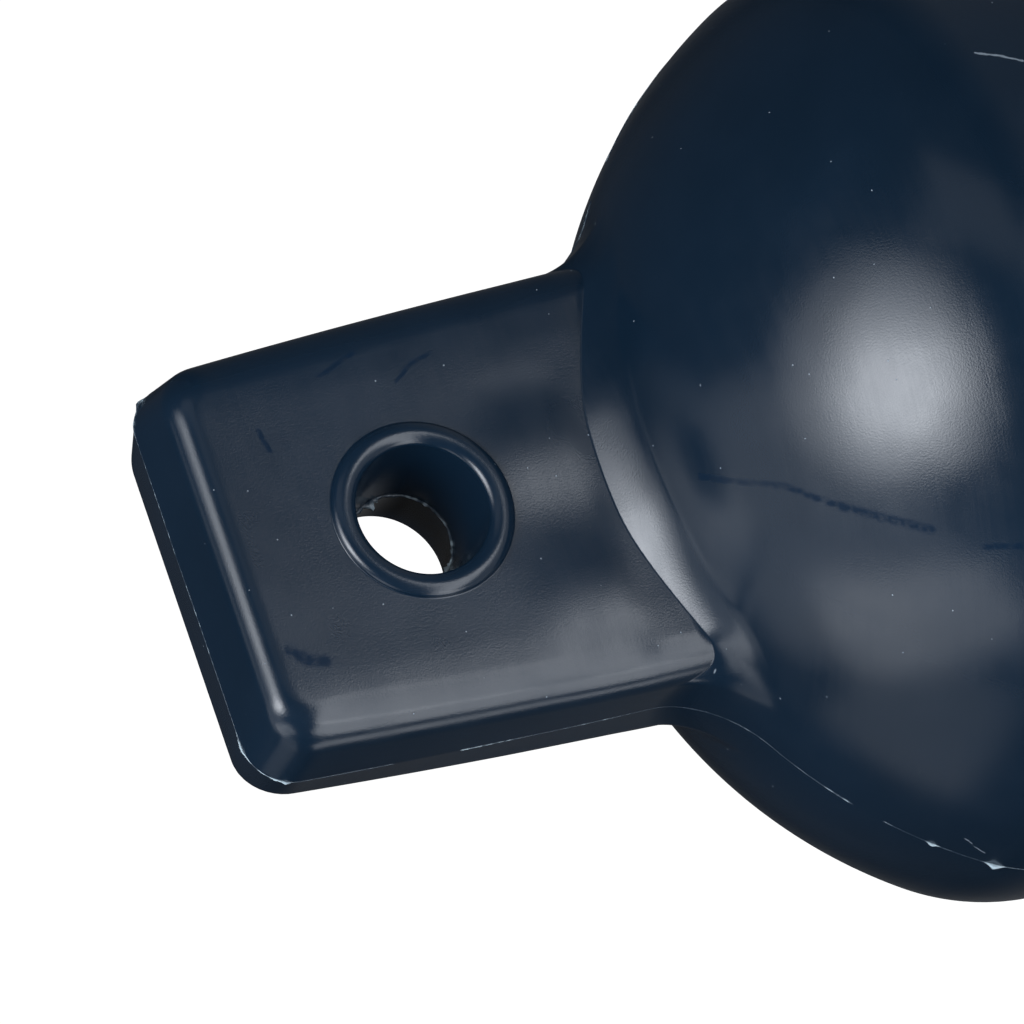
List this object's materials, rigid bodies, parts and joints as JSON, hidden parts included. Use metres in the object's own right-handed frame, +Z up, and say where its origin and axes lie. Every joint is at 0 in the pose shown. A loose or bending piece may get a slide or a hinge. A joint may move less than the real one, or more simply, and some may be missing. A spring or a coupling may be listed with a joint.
{
  "type": "boat fender",
  "caption": "Cylindrical inflatable boat fender with domed ends and a flat eye tab at each end, moulded in smooth vinyl.",
  "frame": {"origin": "centre of the upper eye, where the eye's axis crosses the mould seam", "axes": "+Z up along the fender's length, X across the flat eye tabs in the seam's plane, Y through the eyes"},
  "size_m": [0.165, 0.165, 0.584],
  "materials": {
    "vinyl": "smooth glossy navy soft vinyl with a fine moulded grain",
    "valve_rubber": "matt black moulded rubber"
  },
  "bodies": {
    "root": {"fender_body": "vinyl", "inflation_valve": "valve_rubber"}
  },
  "joints": []
}
